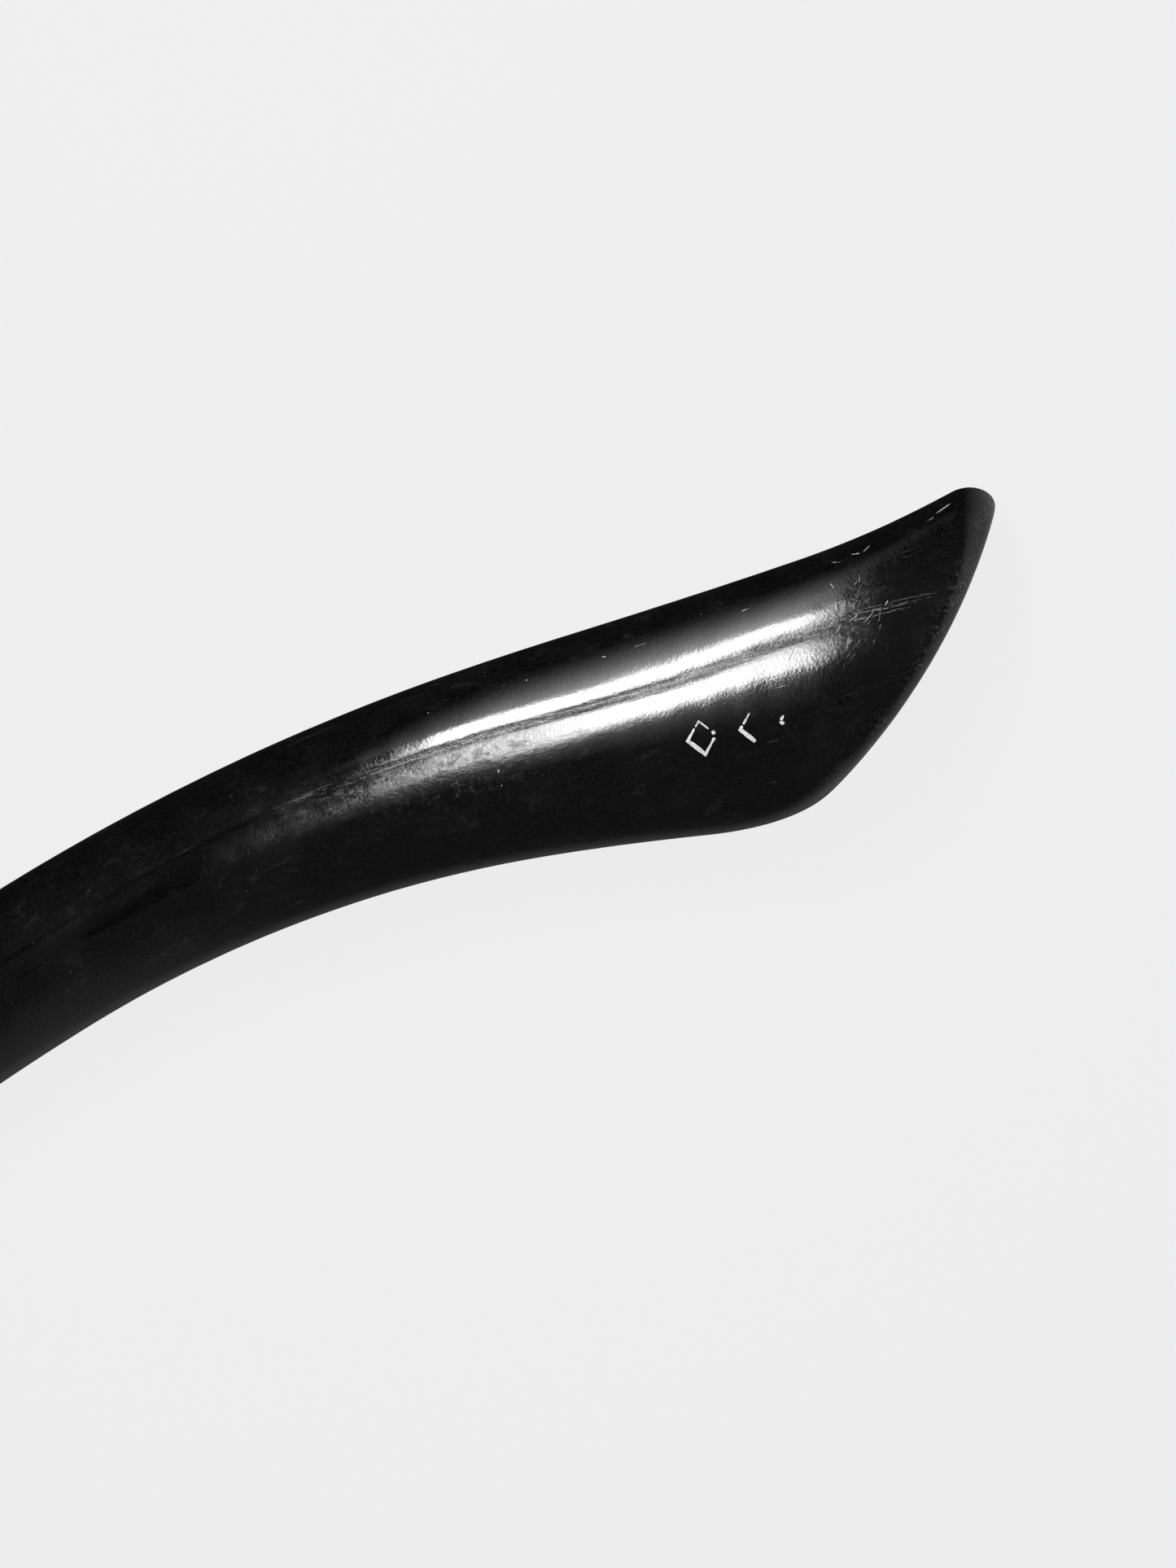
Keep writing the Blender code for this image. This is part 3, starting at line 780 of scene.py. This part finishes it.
# Distances along its axis are negative in the socket. GAP is the fit's clearance and SEAT the shoulder's.
GAP = 0.0003
SEAT = 0.00005
CHAMFER = 0.0005
CORK_SOFT_EDGE = 0.0004
SHANK_LENGTH = 0.0215
COLLAR_RADIUS = 0.0064
GROOVE_RADIUS = 0.0050
GROOVE_FAR = 0.0190
GROOVE_NEAR = 0.0030
SHOULDER_RADIUS = 0.0103
WAIST_RADIUS = 0.0084
RIM_RADIUS = 0.0120
CUP_RADIUS = 0.0082
RIM_HEIGHT = 0.0250
CUP_DEPTH = 0.0120
THROAT_RADIUS = 0.0021
BACKBORE_RADIUS = 0.0036
BACKBORE_PULLS = ((0.004, 0.0024), (-0.008, 0.0030))
THROAT_LENGTH = 0.0020
WAIST_AT = 0.0110
CUP_BOTTOM = (0.0018, 0.0029)
SIDES = 160


def curve(p0, p1, p2, p3, count):
    """Points of a cubic curve after its first."""
    t = np.linspace(0.0, 1.0, count + 1)[1:, None]
    p0, p1, p2, p3 = (np.array(p) for p in (p0, p1, p2, p3))
    points = (1 - t) ** 3 * p0 + 3 * (1 - t) ** 2 * t * p1 + 3 * (1 - t) * t * t * p2 + t ** 3 * p3
    return [tuple(point) for point in points]


def turned(name, profile, finish):
    """A closed profile of distances along the axis and radii, turned round the neck's axis."""
    heading = float(np.interp(NECK_END, TABLE[0], TABLE[1]))
    base = place(NECK_END, 0.0, NECK_HEIGHT)
    out = np.array([-math.cos(heading), -math.sin(heading), 0.0])
    side = np.array([-math.sin(heading), math.cos(heading), 0.0])
    up = np.array([0.0, 0.0, 1.0])
    turns = np.linspace(0.0, 2.0 * math.pi, SIDES, endpoint=False)
    axial = np.array([point[0] for point in profile])
    radius = np.array([point[1] for point in profile])
    radial = side * np.cos(turns)[:, None] + up * np.sin(turns)[:, None]
    points = base + radial[:, None] * radius[None, :, None] + out * axial[None, :, None]
    across = radius[None] * np.cos(turns)[:, None]
    upright = radius[None] * np.sin(turns)[:, None]
    local = np.stack(np.broadcast_arrays(axial[None], across, upright), axis=-1)
    faces = tour_faces(SIDES, len(profile))
    made = mesh_object(name, points.reshape(-1, 3), faces, [finish], crease=math.radians(30.0))
    turn_outwards(made)
    store(made, "turned_place", local.reshape(-1, 3))
    return made


def make_mouthpiece():
    """Shank, cork groove, shoulder, waist, rounded rim, cup, throat and backbore."""
    rim_round = 0.5 * (RIM_RADIUS - CUP_RADIUS)
    rim_low = RIM_HEIGHT - rim_round
    throat = RIM_HEIGHT - CUP_DEPTH
    profile = [
        (-SHANK_LENGTH, BACKBORE_RADIUS),
        (-SHANK_LENGTH, COLLAR_RADIUS - CHAMFER),
        (-SHANK_LENGTH + CHAMFER, COLLAR_RADIUS),
        (-GROOVE_FAR, COLLAR_RADIUS),
        (-GROOVE_FAR, GROOVE_RADIUS),
        (-GROOVE_NEAR, GROOVE_RADIUS),
        (-GROOVE_NEAR, COLLAR_RADIUS),
        (SEAT, COLLAR_RADIUS),
        (SEAT, SHOULDER_RADIUS - CHAMFER),
        (SEAT + 0.3 * CHAMFER, SHOULDER_RADIUS - 0.3 * CHAMFER),
        (SEAT + CHAMFER, SHOULDER_RADIUS),
    ]
    half_way = 0.5 * WAIST_AT
    pulls = ((half_way, SHOULDER_RADIUS), (half_way, WAIST_RADIUS))
    profile += curve(profile[-1], *pulls, (WAIST_AT, WAIST_RADIUS), 28)
    half_way = 0.5 * (WAIST_AT + rim_low)
    pulls = ((half_way, WAIST_RADIUS), (half_way, RIM_RADIUS))
    profile += curve(profile[-1], *pulls, (rim_low, RIM_RADIUS), 32)
    middle = 0.5 * (RIM_RADIUS + CUP_RADIUS)
    for turn in np.linspace(0.0, math.pi, 33)[1:]:
        profile.append((rim_low + rim_round * math.sin(turn), middle + rim_round * math.cos(turn)))
    cup_low = (throat + CUP_BOTTOM[0], CUP_BOTTOM[1])
    cup_wall = (rim_low - 0.5 * CUP_DEPTH, CUP_RADIUS)
    cup_floor = (throat + 2.0 * CUP_BOTTOM[0], 2.0 * CUP_BOTTOM[1])
    profile += curve(profile[-1], cup_wall, cup_floor, cup_low, 36)
    grip = (throat, THROAT_RADIUS)
    profile += curve(profile[-1], grip, grip, (throat - THROAT_LENGTH, THROAT_RADIUS), 10)
    profile += curve(profile[-1], *BACKBORE_PULLS, profile[0], 24)[:-1]
    return turned("mouthpiece_turned", profile, turned_horn())


def make_cork():
    """The sleeve in the shank's groove, with softened edges."""
    inside = GROOVE_RADIUS + GAP
    outside = SOCKET_RADIUS - GAP
    soft = CORK_SOFT_EDGE
    far = -GROOVE_FAR + GAP
    near = -GROOVE_NEAR - GAP
    profile = [(far, inside), (far, outside - soft)]
    for turn in np.linspace(0.0, 0.5 * math.pi, 7)[1:]:
        profile.append((far + soft * (1.0 - math.cos(turn)), outside - soft * (1.0 - math.sin(turn))))
    for k in np.linspace(0.0, 1.0, 30)[1:]:
        profile.append((mix(far + soft, near - soft, k), outside))
    for turn in np.linspace(0.0, 0.5 * math.pi, 7)[1:]:
        profile.append((near - soft * (1.0 - math.sin(turn)), outside - soft * (1.0 - math.cos(turn))))
    profile.append((near, inside))
    return turned("cork_sleeve", profile, cork())


# Stage, light and camera -------------------------------------------------------------------

VIEW_CENTRE = Vector((-0.02305, -0.00911, 0.015))
VIEW_ROLL = math.radians(-11.94)
VIEW_HEIGHT = 0.3372
CAMERA_DISTANCE = 1.5
BACKGROUND = 0.847
FLOOR_ALBEDO = 0.04
FLOOR_LEVEL = 0.825
FLOOR_HALF_SIZE = 8.0
SENSOR_HEIGHT = 36.0


def make_floor():
    """The pale ground, which glows evenly and isn't mirrored in the horn."""
    mesh = bpy.data.meshes.new("floor")
    signs = ((-1, -1), (1, -1), (1, 1), (-1, 1))
    corners = [(x * FLOOR_HALF_SIZE, y * FLOOR_HALF_SIZE, 0) for x, y in signs]
    mesh.from_pydata(corners, [], [(0, 1, 2, 3)])
    floor = bpy.data.objects.new("floor", mesh)
    bpy.context.scene.collection.objects.link(floor)
    paper = bpy.data.materials.new("pale_paper")
    paper.use_nodes = True
    shader = paper.node_tree.nodes["Principled BSDF"]
    shader.inputs["Base Color"].default_value = (FLOOR_ALBEDO, FLOOR_ALBEDO, FLOOR_ALBEDO, 1.0)
    shader.inputs["Roughness"].default_value = 1.0
    shader.inputs["Specular IOR Level"].default_value = 0.0
    shader.inputs["Emission Color"].default_value = (1.0, 1.0, 1.0, 1.0)
    shader.inputs["Emission Strength"].default_value = FLOOR_LEVEL
    mesh.materials.append(paper)
    floor.visible_glossy = False


CARD_TILT = math.radians(30.0)
CARD_DISTANCE = 0.5
CARD_LEVEL = 30.0
CARD_ALONG = (-0.160, 0.045, 90)
CARD_ACROSS = (-0.420, 0.760, 360)


def card_glow(u, v):
    """Brightness over the light card, u along the horn and v across it, in metres from its middle."""
    gap = mix(-0.024, 0.055, smooth((u + 0.018) / 0.038))
    half_gap = mix(0.022, 0.040, smooth((u + 0.050) / 0.045))
    high = mix(0.112, 0.096, smooth((u + 0.080) / 0.040)) + 0.070 * smooth((u + 0.030) / 0.035)
    low = mix(-0.238, -0.085, smooth((u + 0.062) / 0.110))
    lit = smooth((v - low) / 0.020 + 0.5) * smooth((high - v) / 0.016 + 0.5)
    upper = smooth((v - gap - half_gap) / 0.014) * smooth((u + 0.104) / 0.024)
    lower_share = 0.40 * smooth((u + 0.094) / 0.030) + 0.60 * smooth((u + 0.062) / 0.050)
    lower = smooth((gap - half_gap - v) / 0.014) * lower_share
    strip = 0.03 * smooth((u + 0.125) / 0.050)
    above = np.exp(-np.maximum(v - high, 0.0) / 0.130) * (0.05 + 0.18 * smooth((u + 0.110) / 0.090))
    below = np.exp(-np.maximum(low - v, 0.0) / 0.080) * 0.065 * smooth((u + 0.120) / 0.050)
    halo = np.where(v > 0.5 * (high + low), above, below) * smooth((u + 0.150) / 0.050)
    right = smooth((0.026 - 0.05 * np.maximum(v - 0.3, 0.0) - u) / 0.014)
    return (lit * np.maximum(np.maximum(upper, lower), strip) + (1.0 - lit) * halo) * right


def make_card():
    """A broad light above the bell, whose glow the polished horn mirrors as two bands."""
    u, v = np.meshgrid(np.linspace(*CARD_ALONG), np.linspace(*CARD_ACROSS), indexing="ij")
    up = np.array([0.0, math.sin(CARD_TILT), math.cos(CARD_TILT)])
    side = np.array([0.0, math.cos(CARD_TILT), -math.sin(CARD_TILT)])
    middle = np.array(VIEW_CENTRE) + up * CARD_DISTANCE
    points = middle + u[..., None] * np.array([1.0, 0.0, 0.0]) + v[..., None] * side
    row = CARD_ACROSS[2]
    i, j = np.meshgrid(np.arange(CARD_ALONG[2] - 1), np.arange(row - 1), indexing="ij")
    first = i * row + j
    faces = np.stack([first, first + row, first + row + 1, first + 1], axis=-1).reshape(-1, 4)
    light = bpy.data.materials.new("light_card")
    light.use_nodes = True
    tree = light.node_tree
    tree.nodes.clear()
    glow = tree.nodes.new("ShaderNodeAttribute")
    glow.attribute_name = "glow"
    shader = tree.nodes.new("ShaderNodeEmission")
    output = tree.nodes.new("ShaderNodeOutputMaterial")
    tree.links.new(glow.outputs["Fac"], shader.inputs["Strength"])
    tree.links.new(shader.outputs["Emission"], output.inputs["Surface"])
    card = mesh_object("light_card", points.reshape(-1, 3), faces, [light])
    store(card, "glow", CARD_LEVEL * card_glow(u, v).ravel())
    card.visible_camera = False
    card.visible_shadow = False


def direction_level(tree, direction, low, high, to_low, to_high):
    """A world level that changes smoothly along a direction."""
    place_on_sky = tree.nodes.new("ShaderNodeTexCoord")
    dot = tree.nodes.new("ShaderNodeVectorMath")
    dot.operation = "DOT_PRODUCT"
    dot.inputs[1].default_value = direction
    tree.links.new(place_on_sky.outputs["Generated"], dot.inputs[0])
    level = tree.nodes.new("ShaderNodeMapRange")
    level.interpolation_type = "SMOOTHSTEP"
    for key, value in (("From Min", low), ("From Max", high), ("To Min", to_low), ("To Max", to_high)):
        level.inputs[key].default_value = value
    tree.links.new(dot.outputs["Value"], level.inputs["Value"])
    return level.outputs["Result"]


def make_world():
    world = bpy.data.worlds.new("studio")
    bpy.context.scene.world = world
    world.use_nodes = True
    tree = world.node_tree
    sky = tree.nodes["Background"]
    sky.inputs["Color"].default_value = (1.0, 1.0, 1.0, 1.0)
    side = direction_level(tree, (0.0, -0.8, 0.6), -1.1, 0.35, 0.01, 0.065)
    end = direction_level(tree, (1.0, 0.0, 0.0), 0.05, 0.90, 0.0, 0.45)
    neck = tree.nodes.new("ShaderNodeMath")
    neck.operation = "MULTIPLY"
    tree.links.new(direction_level(tree, (1.0, 0.0, 0.0), 0.03, 0.30, 0.0, 1.0), neck.inputs[0])
    tree.links.new(direction_level(tree, (0.0, -1.0, 0.0), 0.05, 0.50, 0.0, 0.07), neck.inputs[1])
    below = direction_level(tree, (0.0, -0.6, -0.8), 0.85, 1.0, 0.0, 0.06)
    room = side
    for extra in (end, neck.outputs["Value"], below):
        total = tree.nodes.new("ShaderNodeMath")
        total.operation = "ADD"
        tree.links.new(room, total.inputs[0])
        tree.links.new(extra, total.inputs[1])
        room = total.outputs["Value"]
    path = tree.nodes.new("ShaderNodeLightPath")
    level = tree.nodes.new("ShaderNodeMix")
    tree.links.new(path.outputs["Is Camera Ray"], level.inputs["Factor"])
    tree.links.new(room, level.inputs["A"])
    level.inputs["B"].default_value = BACKGROUND
    tree.links.new(level.outputs["Result"], sky.inputs["Strength"])


def make_camera():
    data = bpy.data.cameras.new("camera")
    data.sensor_fit = "VERTICAL"
    data.sensor_height = SENSOR_HEIGHT
    data.lens = data.sensor_height * CAMERA_DISTANCE / VIEW_HEIGHT
    data.clip_end = 50.0
    camera = bpy.data.objects.new("camera", data)
    bpy.context.scene.collection.objects.link(camera)
    camera.location = VIEW_CENTRE + Vector((0.0, 0.0, CAMERA_DISTANCE))
    camera.rotation_euler = (0.0, 0.0, VIEW_ROLL)
    bpy.context.scene.camera = camera


def main():
    make_camera()
    make_world()
    make_floor()
    make_card()
    bpy.context.scene.view_settings.view_transform = "Standard"

    horn = make_horn()
    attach(horn, "horn")
    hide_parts("horn_body")
    filler = white_filler()
    for index in range(len(MARK_STATIONS)):
        mark = make_mark(index, filler)
        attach(mark, "horn")
        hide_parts(f"mark_inlay_{index + 1}")
    mouthpiece = make_mouthpiece()
    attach(mouthpiece, "mouthpiece")
    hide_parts("mouthpiece")
    sleeve = make_cork()
    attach(sleeve, "mouthpiece")
    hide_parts("shank_cork")


main()
